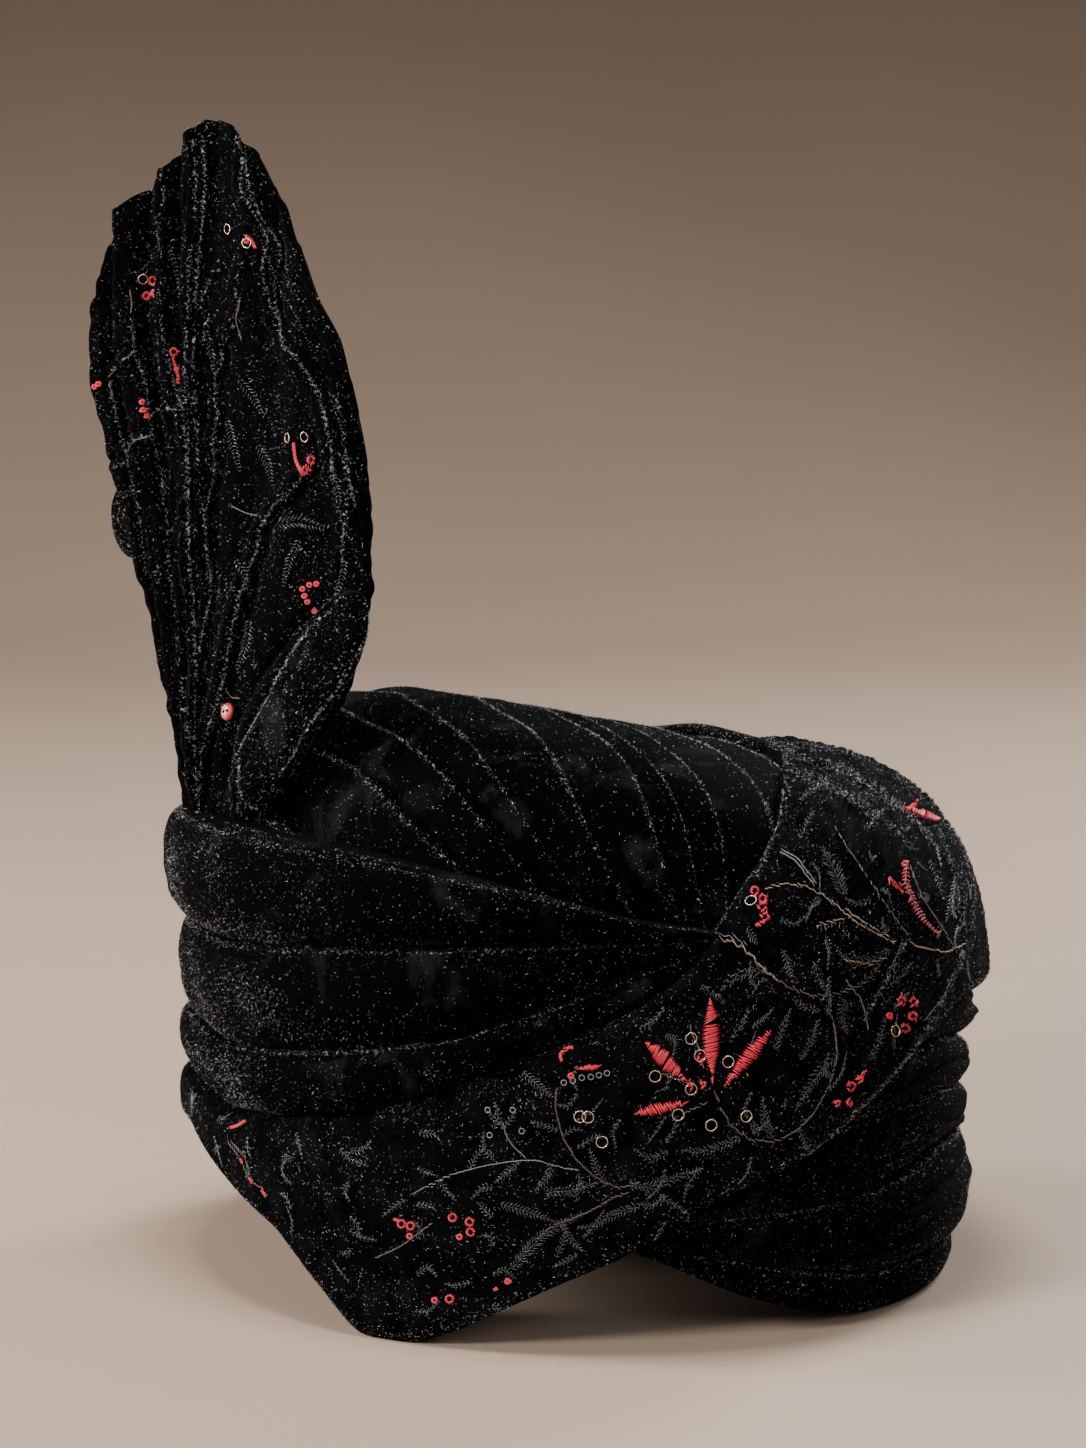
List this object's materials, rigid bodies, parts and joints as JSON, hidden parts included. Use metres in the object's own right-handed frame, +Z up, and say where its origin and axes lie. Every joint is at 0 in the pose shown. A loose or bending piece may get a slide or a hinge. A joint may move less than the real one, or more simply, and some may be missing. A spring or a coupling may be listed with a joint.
{
  "type": "wound velvet wedding turban with an upright pleated fan",
  "caption": "Ready-wound velvet wedding turban: pleated crown, padded turns, embroidered sash across the front and an upright fan over the right ear.",
  "frame": {"origin": "middle of the bounding box's base, on the surface that the turban stands on", "axes": "+Z up, the wearer faces -Y, +X is the wearer's left, and the fan is on -X"},
  "size_m": [0.2598, 0.27, 0.341],
  "materials": {
    "base_roll": "black velvet",
    "crown": "black velvet",
    "embroidered_band": "black velvet with black, bronze and red thread work",
    "fan": "pleated black velvet with thread work",
    "fan_back_fold": "black velvet",
    "fan_flap": "plain black velvet",
    "top_tuck": "black velvet",
    "turn_1": "black velvet",
    "turn_2": "black velvet",
    "turn_3": "black velvet",
    "turn_4": "black velvet"
  },
  "bodies": {
    "root": {"base_roll": "base_roll", "crown": "crown", "embroidered_band": "embroidered_band", "fan": "fan", "fan_back_fold": "fan_back_fold", "fan_flap": "fan_flap", "top_tuck": "top_tuck", "turn_1": "turn_1", "turn_2": "turn_2", "turn_3": "turn_3", "turn_4": "turn_4"}
  },
  "joints": []
}
